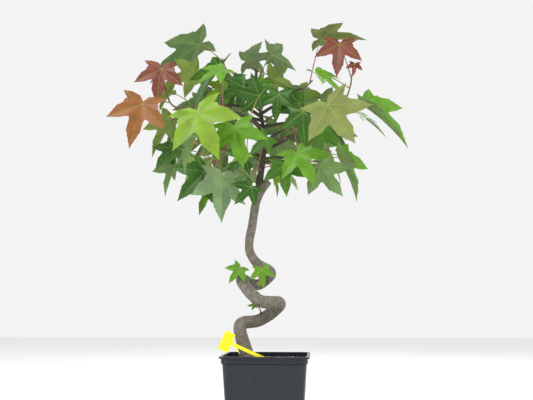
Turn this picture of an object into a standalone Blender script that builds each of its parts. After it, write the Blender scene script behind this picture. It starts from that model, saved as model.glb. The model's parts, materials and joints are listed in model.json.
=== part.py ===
"""A young sweetgum trained into a corkscrew, in its square nursery pot.

Metres, +Z up. The origin is the middle of the pot's flat underside, +X is to the right and
+Y away from the viewer. Each sub-part is one closed solid in an object of its own. The tables
are in millimetres. The crown is grown: every tuft of leaves has a stem, and each leaf stalk
leaves that stem for its blade. A leaf that would touch something already grown is turned a
little and tried again, and left out if it still touches.
"""

import math
import random

import bmesh
import bpy
from mathutils import Matrix, Vector
from mathutils.bvhtree import BVHTree

MM = 0.001
GAP = 0.3  # clearance between pieces that touch
SEED = 29

# The pot: a square flange on a shallow collar, over walls that draw in towards the foot.
POT_HEIGHT = 130.0
FLANGE_WIDTH = 130.0
FLANGE_THICK = 3.2
COLLAR_WIDTH = 124.5
COLLAR_DEPTH = 7.0
WALL_TOP_WIDTH = 121.0
FOOT_WIDTH = 105.0
WALL = 1.6
CORNER_RADIUS = 9.0
CORNER_STEPS = 4
FOOT_CHAMFER = 2.0
DRAIN_RADIUS = 4.5
DRAIN_OFFSET = 34.0

SOIL_TOP = 123.0
SOIL_EDGE_DROP = 2.5

# The label: a T of thin sheet, its stem pushed slantwise into the mix.
LABEL_HEAD = (15.5, 28.0)
LABEL_THICK = 1.0
LABEL_STEM = (74.0, 5.0)
LABEL_POINT = 8.0
LABEL_PLACE = (-54.0, -54.0, 151.0)
LABEL_SLOPE = 23.7
BARB = ((6.0, -2.0), (10.0, -2.0), (17.0, -8.5))

# The trunk: a foot, then two turns of a corkscrew given by quarter turns, then a straight run.
# A quarter turn is the middle of its circle across, the circle's radius and the height. The
# first lies to the left, and the next ones go round by the back, the right and the front.
TRUNK_FOOT = ((-29, 1, 116), (-30, 0, 128), (-35, -2, 148))
QUARTER_TURNS = (
    (-10, 29, 174),
    (-10, 22, 181),
    (-8, 28, 205),
    (-10, 26, 210),
    (-14, 24, 241),
    (-15, 21, 234),
    (-14, 21, 251),
    (-14, 15, 266),
)
TRUNK_RUN = ((-25, -10, 284), (-25, -8, 302), (-21, -4, 326), (-17, -2, 354), (-10, 0, 374))
TRUNK_STUB = ((-2, 0, 386), (8, 0, 400))
TRUNK_RADII = ((0.0, 12.5), (0.03, 11.2), (0.09, 9.6), (0.4, 9.3), (0.62, 8.0), (0.74, 6.6), (1.0, 6.4))
STUB_CUT = ((3.0, 0.0, 393.0), (0.75, 0.0, 0.66))
TRUNK_STEP = 8.0

# The leader: the dark shoot that took over beside the chopped stub, itself cut at the tip.
LEADER = (
    (-10, 0, 374),
    (-11, 1, 390),
    (-8, 2, 410),
    (-5, 2, 432),
    (-4, 2, 456),
    (-7, 1, 488),
    (-12, 0, 518),
    (-16, 0, 540),
    (-16, 0, 574),
)
LEADER_RADII = ((0.0, 6.2), (0.2, 4.8), (0.4, 3.2), (1.0, 2.3))

# The boughs that show, each from inside the leader to where it enters its tuft.
BOUGHS = {
    "bough_top_left": ((-15, 0, 532), (-34, -4, 546), (-50, -6, 553)),
    "bough_top_right": ((-11, 0, 510), (18, 4, 524), (44, 4, 534)),
    "bough_left": ((-8, 1, 494), (-34, -6, 508), (-62, -8, 511)),
    "bough_right": ((-4, 2, 438), (23, -5, 452), (44, -10, 461)),
    "bough_front_left": ((-6, 1, 476), (-24, -36, 483), (-42, -62, 486)),
    "bough_front": ((-5, 2, 463), (-10, -34, 469), (-17, -62, 471)),
    "bough_front_right": ((-4, 2, 450), (14, -34, 457), (32, -56, 461)),
    "bough_low_left": ((-6, 2, 424), (-30, -5, 434), (-52, -10, 434)),
    "bough_low_right": ((-5, 2, 427), (18, -14, 426), (40, -24, 422)),
}
BOUGH_RADII = (3.0, 1.9)

# The boughs behind, by how far round from +X, where they leave the leader, reach and rise.
BACK_BOUGHS = {
    "bough_back_low_right": (38, 421, 46, 8),
    "bough_back_low": (92, 414, 48, 6),
    "bough_back_low_left": (150, 433, 50, 8),
    "bough_back_mid_right": (18, 480, 66, 12),
    "bough_back_mid": (72, 450, 66, 14),
    "bough_back_mid_left": (128, 464, 66, 14),
    "bough_back_left": (166, 486, 70, 12),
    "bough_back_top_right": (50, 500, 52, 22),
    "bough_back_top_left": (116, 520, 50, 20),
}

# Tufts placed leaf by leaf: the limb each grows from, its stem, and its leaves. A leaf is its
# blade's base (across, away, up), the heading of its middle lobe as the viewer sees it (0 right,
# 90 up), how far that points at the viewer, the roll about it (0 shows the upper face broadly,
# 180 the under face), the fold along the midrib, and the middle lobe's length.
TUFTS = {
    "leaves_top_left": (
        "bough_top_left",
        ((-62, -6, 566), (-70, -2, 588)),
        (
            (-108, 6, 614, 210, 0, 97, 10, 100),
            (-112, -12, 561, 198, 8, 132, 10, 54),
            (-68, -22, 561, 231, 18, 64, 34, 82),
            (-60, -52, 534, 214, 16, 10, 12, 48),
            (-56, 14, 560, 258, 0, 8, 10, 46),
        ),
    ),
    "leaves_crown": (
        "leader",
        ((-16, 0, 546), (-8, -10, 560), (-4, -14, 568)),
        (
            (-34, -20, 581, 188, 12, 112, 6, 66),
            (-30, -2, 583, 18, -8, -112, 8, 56),
            (8, -6, 590, -32, 10, -122, 8, 56),
            (4, 16, 566, -28, 0, -148, 10, 54),
        ),
    ),
    "leaves_left_tip": (
        "bough_left",
        ((-101, -12, 510), (-142, -15, 508), (-155, -18, 532), (-159, -19, 552)),
        (
            (-162, -24, 566, 264, 14, 2, 14, 58),
            (-188, -32, 507, 254, 10, 0, 16, 74),
            (-137, -24, 490, 238, 6, 108, 46, 90),
            (-148, 4, 446, 226, 0, 20, 18, 42),
            (-147, 20, 424, 250, 4, 112, 44, 60),
            (-114, -26, 455, 262, 10, 0, 20, 20),
        ),
    ),
    "leaves_front_left": (
        "bough_front_left",
        ((-58, -90, 488), (-66, -104, 488)),
        (
            (-87, -136, 467, -65, 18, 0, 8, 78),
            (-96, -84, 446, 246, 4, 104, 46, 60),
            (-58, -96, 540, 208, 22, 40, 10, 44),
        ),
    ),
    "leaves_front": (
        "bough_front",
        ((-24, -84, 472), (-28, -94, 470)),
        (
            (-38, -114, 450, -77, 16, 0, 8, 62),
            (-26, -58, 424, 205, 8, 30, 10, 26),
            (-6, -70, 508, 172, 20, -30, 12, 46),
        ),
    ),
    "leaves_front_right": (
        "bough_front_right",
        ((48, -74, 464), (56, -80, 466)),
        (
            (94, -104, 484, -60, 12, 178, 6, 76),
            (58, -92, 476, -90, 12, 6, 12, 56),
            (50, -84, 420, -64, 14, -4, 10, 60),
            (52, -40, 504, 188, 6, -20, 14, 44),
        ),
    ),
    "leaves_low_front": (
        "leader",
        ((-8, 2, 408), (-12, -24, 410), (-14, -38, 408)),
        (
            (-18, -66, 373, 226, 10, 0, 8, 36),
            (2, -34, 452, 232, 10, 0, 14, 40),
            (-30, -30, 428, 226, 8, 10, 14, 42),
        ),
    ),
    "leaves_low_left": (
        "bough_low_left",
        ((-70, -12, 426), (-80, -12, 418)),
        (
            (-92, -34, 402, 228, 10, 4, 14, 60),
            (-88, 22, 384, 240, 4, 30, 20, 46),
            (-62, -46, 391, 266, 6, 150, 28, 72),
            (-54, 16, 388, 254, 2, 140, 24, 42),
            (-128, -6, 440, 214, 0, 24, 20, 40),
        ),
    ),
    "leaves_low_right": (
        "bough_low_right",
        ((62, -26, 418), (78, -22, 418)),
        (
            (110, -22, 423, -59, 4, -72, 46, 72),
            (82, -54, 404, -56, 8, 168, 12, 60),
            (30, -58, 404, -84, 10, 0, 14, 50),
            (8, 20, 402, -69, 0, -66, 30, 36),
        ),
    ),
    "leaves_right_tip": (
        "bough_right",
        ((82, -15, 487), (118, -12, 512), (129, -10, 534), (133, -11, 556)),
        (
            (114, -22, 600, 264, 14, 0, 12, 54),
            (137, -16, 570, 262, 16, 0, 14, 20),
            (153, -22, 500, -37, 4, -62, 40, 88),
            (198, 4, 520, -49, 0, -96, 8, 74),
            (80, -34, 550, -37, 8, -58, 20, 54),
            (78, 6, 472, -31, 0, -20, 14, 54),
        ),
    ),
    "leaves_middle_left": (
        "leader",
        ((-9, 1, 502), (-20, -18, 508), (-26, -26, 514)),
        (
            (-31, -42, 526, 204, 10, 10, 12, 46),
            (-54, 8, 545, 258, 4, 8, 12, 44),
            (-12, -30, 540, -60, 10, 20, 12, 40),
        ),
    ),
    "leaves_middle_right": (
        "leader",
        ((-6, 1, 484), (12, -16, 492), (20, -26, 498)),
        (
            (22, -38, 516, -104, 8, 8, 12, 46),
            (50, -34, 500, 178, 6, -14, 14, 44),
        ),
    ),
    "leaves_right_top": (
        "bough_top_right",
        ((62, 4, 542), (72, 4, 552)),
        (
            (86, 2, 618, 6, 0, -100, 8, 72),
            (62, -38, 529, -42, 12, 172, 10, 50),
            (54, 26, 538, 176, 0, 96, 14, 46),
            (22, 30, 560, -112, 4, 20, 12, 44),
        ),
    ),
}

# Sprouts on the corkscrew itself, in the same form.
SPROUTS = {
    "sprout_front": (
        "trunk",
        ((-8, -13, 262), (-8, -30, 262)),
        ((-5, -36, 255, -84, 6, 0, 6, 28), (-10, -27, 236, -40, 4, 150, 30, 10)),
    ),
    "sprout_left": (
        "trunk",
        ((-37, 0, 241), (-44, -12, 250)),
        ((-39, -15, 258, 234, 8, 6, 8, 29), (-46, -14, 232, 214, 8, 4, 12, 20)),
    ),
    "sprout_low": (
        "trunk",
        ((-9, 22, 183), (-10, 8, 196)),
        ((-17, 0, 203, 184, 6, 30, 16, 13),),
    ),
}

# Tufts grown by rule at the ends of the boughs behind.
RULED_LEAVES = 5
RULED_STEM = 46.0
RULED_STALK = (34.0, 56.0)
RULED_BLADE = (56.0, 76.0)
RULED_DIP = (24.0, 62.0)
SPIRAL = 144.0
CROWN_MIDDLE = Vector((4, 8, 500))
CROWN_REACH = Vector((262, 206, 190))

# A blade: each lobe's angle from the middle one, its length and how wide it swells, as shares.
LOBES = ((-112, 0.56, 0.0), (-56, 0.84, 0.15), (0, 1.0, 0.17), (56, 0.84, 0.15), (112, 0.56, 0.0))
SINUS = 0.4
SHOULDER = 0.6
NOTCH = 0.06
BLADE_THICK = 1.0
DROOP = 0.16
STALK_RADIUS = 0.9
TWIG_TIP = 1.1
TRIES = 22
CLEAR = 1.6  # how much thicker a blade is taken to be while its place is tried


def clean_scene():
    for thing in list(bpy.data.objects):
        bpy.data.objects.remove(thing, do_unlink=True)


def make_collection(name):
    collection = bpy.data.collections.new(name)
    bpy.context.scene.collection.children.link(collection)
    return collection


def finish_material(name, colour, roughness, metallic=0.0):
    material = bpy.data.materials.new(name)
    material.use_nodes = True
    shader = material.node_tree.nodes["Principled BSDF"]
    shader.inputs["Base Color"].default_value = (*colour, 1.0)
    shader.inputs["Roughness"].default_value = roughness
    shader.inputs["Metallic"].default_value = metallic
    return material


def add_object(name, data, collection):
    thing = bpy.data.objects.new(name, data)
    collection.objects.link(thing)
    return thing


def remove_object(thing):
    data = thing.data
    bpy.data.objects.remove(thing, do_unlink=True)
    if isinstance(data, bpy.types.Mesh) and not data.users:
        bpy.data.meshes.remove(data)


def evaluated_mesh(thing):
    graph = bpy.context.evaluated_depsgraph_get()
    return bpy.data.meshes.new_from_object(thing.evaluated_get(graph))


def bake_modifiers(thing):
    """Turns the object's modifiers into plain mesh."""
    mesh = evaluated_mesh(thing)
    thing.modifiers.clear()
    thing.data = mesh


def boolean(thing, operation, cutter):
    modifier = thing.modifiers.new(operation.title(), "BOOLEAN")
    modifier.operation = operation
    modifier.solver = "EXACT"
    modifier.object = cutter
    bake_modifiers(thing)


def keep_largest_shell(thing):
    """Drops loose scraps and sealed hollows that a union leaves."""
    mesh = bmesh.new()
    mesh.from_mesh(thing.data)
    shells = []
    left = set(mesh.faces)
    while left:
        shell = {left.pop()}
        front = list(shell)
        while front:
            for edge in front.pop().edges:
                for face in edge.link_faces:
                    if face in left:
                        left.remove(face)
                        shell.add(face)
                        front.append(face)
        shells.append(shell)
    largest = max(shells, key=lambda shell: sum(face.calc_area() for face in shell))
    scraps = [face for face in mesh.faces if face not in largest]
    bmesh.ops.delete(mesh, geom=scraps, context="FACES")
    mesh.to_mesh(thing.data)
    mesh.free()


def along(table, share):
    """A size read from (share, size) stations, in a straight line between them."""
    for (low, first), (high, second) in zip(table, table[1:]):
        if share <= high:
            return first + (second - first) * (share - low) / (high - low)
    return table[-1][1]


def smooth_path(points, step):
    """Points about one step apart on a smooth curve through the given ones."""
    points = [Vector(point) for point in points]
    padded = [2 * points[0] - points[1], *points, 2 * points[-1] - points[-2]]
    path = []
    for before, start, end, after in zip(padded, padded[1:], padded[2:], padded[3:]):
        count = max(1, round((end - start).length / step))
        for i in range(count):
            t = i / count
            path.append(
                0.5
                * (
                    2 * start
                    + (end - before) * t
                    + (2 * before - 5 * start + 4 * end - after) * t * t
                    + (3 * start - before - 3 * end + after) * t * t * t
                )
            )
    return [*path, points[-1]]


def shares(path):
    """How far along the path each point lies, from 0 to 1."""
    lengths = [0.0]
    for first, second in zip(path, path[1:]):
        lengths.append(lengths[-1] + (second - first).length)
    return [length / lengths[-1] for length in lengths]


def tube(name, path, radii, collection, roundness=1):
    """A tapering limb in millimetres: a curve with a round bevel and filled ends, made a mesh."""
    curve = bpy.data.curves.new(name, "CURVE")
    curve.dimensions = "3D"
    curve.bevel_depth = MM
    curve.bevel_resolution = roundness
    curve.use_fill_caps = True
    spline = curve.splines.new("POLY")
    spline.points.add(len(path) - 1)
    for point, place, radius in zip(spline.points, path, radii):
        point.co = (*(place * MM), 1.0)
        point.radius = radius
    wire = add_object(name + "_curve", curve, collection)
    body = bmesh.new()
    body.from_mesh(evaluated_mesh(wire))
    bmesh.ops.remove_doubles(body, verts=body.verts, dist=0.00001)
    bmesh.ops.recalc_face_normals(body, faces=body.faces)
    mesh = bpy.data.meshes.new(name)
    body.to_mesh(mesh)
    body.free()
    limb = add_object(name, mesh, collection)
    limb.matrix_world = wire.matrix_world
    bpy.data.objects.remove(wire, do_unlink=True)
    bpy.data.curves.remove(curve)
    return limb


def tapered(path, start, end):
    return [start + (end - start) * share for share in shares(path)]


def slice_off(thing, place, normal):
    """Cuts the object flat, away from the normal's side, and closes the cut."""
    body = bmesh.new()
    body.from_mesh(thing.data)
    cut = bmesh.ops.bisect_plane(
        body,
        geom=[*body.verts, *body.edges, *body.faces],
        plane_co=Vector(place) * MM,
        plane_no=Vector(normal),
        clear_outer=True,
    )
    rim = [item for item in cut["geom_cut"] if isinstance(item, bmesh.types.BMEdge)]
    bmesh.ops.contextual_create(body, geom=rim)
    bmesh.ops.recalc_face_normals(body, faces=body.faces)
    body.to_mesh(thing.data)
    body.free()


def rounded_square(width, radius, height):
    """One ring of points, in millimetres, anticlockwise seen from above."""
    inner = width / 2 - radius
    ring = []
    for corner in range(4):
        for step in range(CORNER_STEPS + 1):
            turn = math.radians(90 * (corner + step / CORNER_STEPS))
            middle = math.radians(90 * corner + 45)
            x = inner * math.copysign(1, math.cos(middle)) + radius * math.cos(turn)
            y = inner * math.copysign(1, math.sin(middle)) + radius * math.sin(turn)
            ring.append(Vector((x, y, height)) * MM)
    return ring


def loft(name, rings, collection):
    """A solid skin over a run of equal rings, closed at both ends."""
    body = bmesh.new()
    loops = [[body.verts.new(point) for point in ring] for ring in rings]
    for lower, upper in zip(loops, loops[1:]):
        for i, vert in enumerate(lower):
            j = (i + 1) % len(lower)
            body.faces.new((vert, lower[j], upper[j], upper[i]))
    body.faces.new(reversed(loops[0]))
    body.faces.new(loops[-1])
    bmesh.ops.recalc_face_normals(body, faces=body.faces)
    mesh = bpy.data.meshes.new(name)
    body.to_mesh(mesh)
    body.free()
    return add_object(name, mesh, collection)


def wall_width(height):
    """The pot's outer width at a height below the collar."""
    top = POT_HEIGHT - FLANGE_THICK - COLLAR_DEPTH
    return FOOT_WIDTH + (WALL_TOP_WIDTH - FOOT_WIDTH) * height / top


def build_pot(parts):
    under_flange = POT_HEIGHT - FLANGE_THICK
    under_collar = under_flange - COLLAR_DEPTH
    inner_top = COLLAR_WIDTH - 2 * WALL
    outline = (
        (FOOT_WIDTH - 2 * FOOT_CHAMFER, 0),
        (wall_width(FOOT_CHAMFER), FOOT_CHAMFER),
        (WALL_TOP_WIDTH, under_collar - 1),
        (COLLAR_WIDTH, under_collar),
        (COLLAR_WIDTH, under_flange),
        (FLANGE_WIDTH, under_flange + 0.4),
        (FLANGE_WIDTH, POT_HEIGHT - 0.6),
        (FLANGE_WIDTH - 1.2, POT_HEIGHT),
        (inner_top, POT_HEIGHT),
        (inner_top, under_collar),
        (WALL_TOP_WIDTH - 2 * WALL, under_collar - 1),
        (wall_width(WALL) - 2 * WALL, WALL),
    )
    rings = [rounded_square(width, min(CORNER_RADIUS, width / 14 + 0.5), z) for width, z in outline]
    pot = loft("pot", rings, parts)
    for x in (-DRAIN_OFFSET, DRAIN_OFFSET):
        for y in (-DRAIN_OFFSET, DRAIN_OFFSET):
            bpy.ops.mesh.primitive_cylinder_add(
                vertices=16, radius=DRAIN_RADIUS * MM, depth=8 * WALL * MM, location=(x * MM, y * MM, 0)
            )
            drill = bpy.context.object
            boolean(pot, "DIFFERENCE", drill)
            remove_object(drill)
    return pot


def build_soil(parts, label):
    """The mix fills the pot to just under the rim and has a slot where the label is pushed in."""
    inset = 2 * (WALL + GAP)
    under_collar = POT_HEIGHT - FLANGE_THICK - COLLAR_DEPTH
    outline = (
        (wall_width(WALL + GAP) - inset, WALL + GAP),
        (WALL_TOP_WIDTH - inset, under_collar - 1.2),
        (WALL_TOP_WIDTH - inset, SOIL_TOP - SOIL_EDGE_DROP),
        (WALL_TOP_WIDTH - inset - 14, SOIL_TOP),
    )
    rings = [rounded_square(width, width / 14 + 0.5, z) for width, z in outline]
    soil = loft("soil", rings, parts)
    slot = add_object("slot", label.data.copy(), parts)
    slot.matrix_world = label.matrix_world
    thicken = slot.modifiers.new("Clearance", "DISPLACE")
    thicken.strength = 1.8 * GAP * MM
    thicken.mid_level = 0.0
    bake_modifiers(slot)
    boolean(soil, "DIFFERENCE", slot)
    remove_object(slot)
    return soil


def build_label(parts):
    """One flat T outline with a pointed foot and a barb, as it is punched from sheet."""
    head_wide, head_long = LABEL_HEAD
    stem_long, stem_wide = LABEL_STEM
    half = stem_wide / 2
    outline = (
        (-head_wide, head_long / 2),
        (-head_wide, -head_long / 2),
        (0, -head_long / 2),
        (0, -half),
        BARB[0],
        BARB[2],
        BARB[1],
        (stem_long - LABEL_POINT, -half),
        (stem_long, 0),
        (stem_long - LABEL_POINT, half),
        (0, half),
        (0, head_long / 2),
    )
    curve = bpy.data.curves.new("label", "CURVE")
    curve.dimensions = "2D"
    curve.fill_mode = "BOTH"
    curve.extrude = LABEL_THICK / 2 * MM
    spline = curve.splines.new("POLY")
    spline.points.add(len(outline) - 1)
    spline.use_cyclic_u = True
    for point, (x, y) in zip(spline.points, outline):
        point.co = (x * MM, y * MM, 0, 1)
    flat = add_object("label_flat", curve, parts)
    body = bmesh.new()
    body.from_mesh(evaluated_mesh(flat))
    bmesh.ops.remove_doubles(body, verts=body.verts, dist=0.00001)
    bmesh.ops.recalc_face_normals(body, faces=body.faces)
    place = Matrix.Translation(Vector(LABEL_PLACE) * MM + Vector((0.0072, 0, -0.0032)))
    stand = Matrix.Rotation(math.radians(90), 4, "X")
    slope = Matrix.Rotation(math.radians(LABEL_SLOPE), 4, "Y")
    bmesh.ops.transform(body, matrix=place @ slope @ stand, verts=body.verts)
    mesh = bpy.data.meshes.new("label")
    body.to_mesh(mesh)
    body.free()
    bpy.data.objects.remove(flat, do_unlink=True)
    return add_object("label", mesh, parts)


def trunk_path():
    points = [*TRUNK_FOOT]
    for quarter, (middle, radius, height) in enumerate(QUARTER_TURNS):
        turn = math.radians(180 - 90 * quarter)
        points.append((middle + radius * math.cos(turn), radius * math.sin(turn), height))
    return smooth_path([*points, *TRUNK_RUN, *TRUNK_STUB], TRUNK_STEP)


def build_trunk(parts, swell=0.0):
    """The corkscrew from its flat cut at the soil to the slanted chop; swell makes the cutter."""
    path = trunk_path()
    radii = [along(TRUNK_RADII, share) + swell for share in shares(path)]
    trunk = tube("trunk_swollen" if swell else "trunk", path, radii, parts, roundness=3)
    if not swell:
        slice_off(trunk, (0, 0, SOIL_TOP + GAP), (0, 0, -1))
        slice_off(trunk, *STUB_CUT)
    return trunk


def build_leader(parts, swell=0.0):
    path = smooth_path(LEADER, 12)
    radii = [along(LEADER_RADII, share) + swell for share in shares(path)]
    return tube("leader_swollen" if swell else "leader", path, radii, parts, roundness=3)


def blade_rise(turn, reach, fold):
    """How far a blade stands off its flat, as a share of its length: droop less fold."""
    across = abs(math.sin(turn)) * reach
    return across * math.tan(fold) * 0.6 - DROOP * reach * reach


def blade(name, length, fold_deg, place, collection, thick=BLADE_THICK):
    """A lobed leaf blade, thin and closed: a fan of faces each side of its midribs."""
    fold = math.radians(fold_deg)
    rim = []
    for i, (angle, size, width) in enumerate(LOBES):
        turn = math.radians(angle)
        spread = math.atan(width / (SHOULDER * size))
        if width:
            rim.append((turn - spread, math.hypot(SHOULDER * size, width)))
        rim.append((turn, size))
        if width:
            rim.append((turn + spread, math.hypot(SHOULDER * size, width)))
        if i + 1 < len(LOBES):
            rim.append((math.radians((angle + LOBES[i + 1][0]) / 2), SINUS))
    rim.append((math.pi, NOTCH))
    body = bmesh.new()
    sides = []
    for side in (0.5, -0.5):
        lift = Vector((0, 0, side * thick))
        ring = []
        for turn, reach in rim:
            flat = Vector((math.sin(turn), math.cos(turn), 0)) * reach
            flat.z = blade_rise(turn, reach, fold)
            flat.x *= math.cos(fold)
            ring.append(body.verts.new((flat * length + lift) * MM))
        sides.append((body.verts.new(lift * MM), ring))
    (top, upper), (bottom, lower) = sides
    for i in range(len(rim)):
        j = (i + 1) % len(rim)
        body.faces.new((top, upper[j], upper[i]))
        body.faces.new((bottom, lower[i], lower[j]))
        body.faces.new((upper[i], upper[j], lower[j]))
        body.faces.new((upper[i], lower[j], lower[i]))
    bmesh.ops.transform(body, matrix=place, verts=body.verts)
    bmesh.ops.recalc_face_normals(body, faces=body.faces)
    mesh = bpy.data.meshes.new(name)
    body.to_mesh(mesh)
    body.free()
    return add_object(name, mesh, collection)


def blade_place(base, direction, upper_face):
    """The matrix that lays a blade's middle lobe along a direction with its upper face turned so."""
    face = (upper_face - direction * upper_face.dot(direction)).normalized()
    across = direction.cross(face)
    turn = Matrix((across, direction, face)).transposed().to_4x4()
    return Matrix.Translation(base * MM) @ turn


def viewed_frame(heading, toward, roll):
    """Direction and upper face of a blade from the angles that the tables give."""
    heading, toward, roll = map(math.radians, (heading, toward, roll))
    direction = Vector(
        (math.cos(heading) * math.cos(toward), -math.sin(toward), math.sin(heading) * math.cos(toward))
    )
    viewer = Vector((0, -1, 0))
    shown = (viewer - direction * viewer.dot(direction)).normalized()
    return direction, math.cos(roll) * shown + math.sin(roll) * direction.cross(shown)


def stalk_path(root, base, direction):
    """A leaf stalk that arches up from the stem and ends inside the blade."""
    middle = (root + base) / 2 + Vector((0, 0, 0.14 * (base - root).length))
    path = []
    for i in range(3):
        t = i / 3
        path.append(root * (1 - t) ** 2 + middle * 2 * t * (1 - t) + base * t * t)
    return [*path, base, base + direction * 2.0]


def nearest_share(path, target, setback):
    """The place along a stem that lies a little before the point nearest the target."""
    best = min(range(len(path)), key=lambda i: (path[i] - target).length)
    return path[min(len(path) - 1, max(2, best - setback))]


def surface(thing):
    body = bmesh.new()
    body.from_mesh(thing.data)
    tree = BVHTree.FromBMesh(body)
    body.free()
    return tree


class Crown:
    """What has been grown so far, and the surfaces that nothing more may touch."""

    def __init__(self, parts):
        self.parts = parts
        self.taken = {}
        self.paths = {}
        self.skipped = 0

    def take(self, owner, thing):
        self.taken.setdefault(owner, []).append(surface(thing))

    def free(self, trees, stem_owner):
        for owner, others in self.taken.items():
            if owner == stem_owner:
                continue
            for other in others:
                if any(tree.overlap(other) for tree in trees):
                    return False
        return True

    def leaf(self, owner, root, base, frame, length, fold):
        """Grows one leaf if its stalk and blade are clear of everything but their own stem."""
        direction, upper_face = frame
        place = blade_place(base, direction, upper_face)
        path = stalk_path(root, base, direction)
        stalk = tube(owner + "_stalk", path, tapered(path, STALK_RADIUS * 1.15, STALK_RADIUS), self.parts, 0)
        tested = [path[0].lerp(path[1], 0.3), *path[1:]]
        wide = tube(owner + "_try", tested, [STALK_RADIUS + CLEAR / 3] * len(tested), self.parts, 0)
        tried = blade(owner + "_tried", length * 1.01, fold, place, self.parts, BLADE_THICK + CLEAR)
        trees = [surface(wide), surface(tried)]
        remove_object(wide)
        remove_object(tried)
        if not self.free(trees, owner + "_stem"):
            remove_object(stalk)
            return None
        self.taken.setdefault(owner, []).extend(trees)
        return [stalk, blade(owner + "_blade", length, fold, place, self.parts)]


def try_tuft_leaf(crown, owner, stem, row, draw):
    """Places a listed leaf, turning and shifting it a little until it is clear."""
    x, y, z, heading, toward, roll, fold, length = row
    for attempt in range(TRIES):
        ease = attempt / TRIES
        base = Vector((x, y + draw.uniform(-26, 26) * ease, z + draw.uniform(-5, 5) * ease))
        frame = viewed_frame(
            heading + draw.uniform(-10, 10) * ease,
            toward + draw.uniform(-16, 16) * ease,
            roll + draw.uniform(-24, 24) * ease,
        )
        root = nearest_share(stem, base, 1)
        grown = crown.leaf(owner, root, base, frame, length * (1 - 0.12 * ease), fold)
        if grown:
            return grown
    crown.skipped += 1
    return []


def try_ruled_leaf(crown, owner, stem, index, round_angle, draw):
    """Grows a leaf by the rule: spiral round the stem, stalk outward, blade hanging outward."""
    share = (index + 1) / RULED_LEAVES
    root = stem[round((len(stem) - 1) * share)]
    for _ in range(TRIES):
        spin = math.radians(SPIRAL * index + draw.uniform(-30, 30))
        swing = round_angle + math.radians(62) * math.sin(spin) * (1.15 - 0.6 * share)
        rise = math.radians(14 + 30 * math.cos(spin) + draw.uniform(-10, 10))
        reach = draw.uniform(*RULED_STALK)
        outward = Vector((math.cos(swing), math.sin(swing), 0))
        base = root + (outward * math.cos(rise) + Vector((0, 0, math.sin(rise)))) * reach
        dip = math.radians(draw.uniform(*RULED_DIP))
        direction = outward * math.cos(dip) - Vector((0, 0, math.sin(dip)))
        sideways = Vector((-outward.y, outward.x, 0)) * draw.uniform(-0.4, 0.4)
        upper_face = outward * math.sin(dip) + Vector((0, 0, math.cos(dip))) + sideways
        length = draw.uniform(*RULED_BLADE)
        tip = base + direction * length - CROWN_MIDDLE
        if Vector(a / b for a, b in zip(tip, CROWN_REACH)).length > 1:
            continue
        grown = crown.leaf(owner, root, base, (direction, upper_face), length, draw.uniform(6, 26))
        if grown:
            return grown
    crown.skipped += 1
    return []


def fuse(stem, pieces, parts):
    """Joins stem, stalks and blades into one closed body."""
    if pieces:
        tools = bpy.data.collections.new("joining")
        for piece in pieces:
            parts.objects.unlink(piece)
            tools.objects.link(piece)
        modifier = stem.modifiers.new("Union", "BOOLEAN")
        modifier.operation = "UNION"
        modifier.operand_type = "COLLECTION"
        modifier.solver = "EXACT"
        modifier.collection = tools
        bake_modifiers(stem)
        for piece in pieces:
            remove_object(piece)
        bpy.data.collections.remove(tools)
    keep_largest_shell(stem)


def limb_from(crown, name, path, radii, carrier, swollen):
    """A limb whose root is cut to sit on the limb that carries it."""
    limb = tube(name, path, radii, crown.parts, 1)
    if carrier in swollen:
        boolean(limb, "DIFFERENCE", swollen[carrier])
        keep_largest_shell(limb)
    return limb


def build_boughs(crown, swollen):
    """Every bough, and beyond it the start of its tuft's stem in the same line."""
    routes = dict(BOUGHS)
    for name, (angle, height, reach, rise) in BACK_BOUGHS.items():
        turn = math.radians(angle)
        out = Vector((math.cos(turn), math.sin(turn), 0))
        root = min(crown.paths["leader"], key=lambda point: abs(point.z - height))
        routes[name] = (root, root + out * reach * 0.5 + Vector((0, 0, rise * 0.7)), root + out * reach + Vector((0, 0, rise)))
    boughs = []
    for name, route in routes.items():
        path = smooth_path(route, 12)
        crown.paths[name] = path
        bough = limb_from(crown, name, path, tapered(path, *BOUGH_RADII), "leader", swollen)
        crown.take(name, bough)
        boughs.append(bough)
    return boughs


def stem_path(crown, carrier, route):
    """The stem of a tuft: on from its bough's tip, or out from inside a thicker limb."""
    if carrier not in BOUGHS and carrier not in BACK_BOUGHS:
        return smooth_path(route, 8)
    bough = crown.paths[carrier]
    onward = (bough[-1] - bough[-2]).normalized()
    start = bough[-1] + onward * GAP
    return smooth_path([start, start + onward * 3, *route], 8)


def build_tufts(crown, swollen):
    """All tufts: stems first, then listed leaves, then the ones that the rule grows."""
    draw = random.Random(SEED)
    stems = {}
    for name, (carrier, route, leaves) in {**TUFTS, **SPROUTS}.items():
        stems[name] = (carrier, stem_path(crown, carrier, route), leaves)
    for bough, (angle, *_) in BACK_BOUGHS.items():
        turn = math.radians(angle)
        tip = crown.paths[bough][-1]
        end = tip + Vector((math.cos(turn), math.sin(turn), 0.3)) * RULED_STEM
        route = (tip + (end - tip) * 0.5 + Vector((0, 0, 3)), end)
        stems[bough.replace("bough", "leaves")] = (bough, stem_path(crown, bough, route), turn)
    grown = {}
    for name, (carrier, path, _) in stems.items():
        thick = BOUGH_RADII[1] if name.startswith("leaves") else STALK_RADIUS * 1.5
        stem = limb_from(crown, name, path, tapered(path, thick, TWIG_TIP), carrier, swollen)
        crown.take(name + "_stem", stem)
        grown[name] = (stem, [])
    for name, (_, path, leaves) in stems.items():
        if isinstance(leaves, tuple):
            for row in leaves:
                grown[name][1].extend(try_tuft_leaf(crown, name, path, row, draw))
    for name, (_, path, leaves) in stems.items():
        if isinstance(leaves, float):
            for index in range(RULED_LEAVES):
                grown[name][1].extend(try_ruled_leaf(crown, name, path, index, leaves, draw))
    for stem, pieces in grown.values():
        fuse(stem, pieces, crown.parts)
    return [stem for stem, _ in grown.values()]


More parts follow.
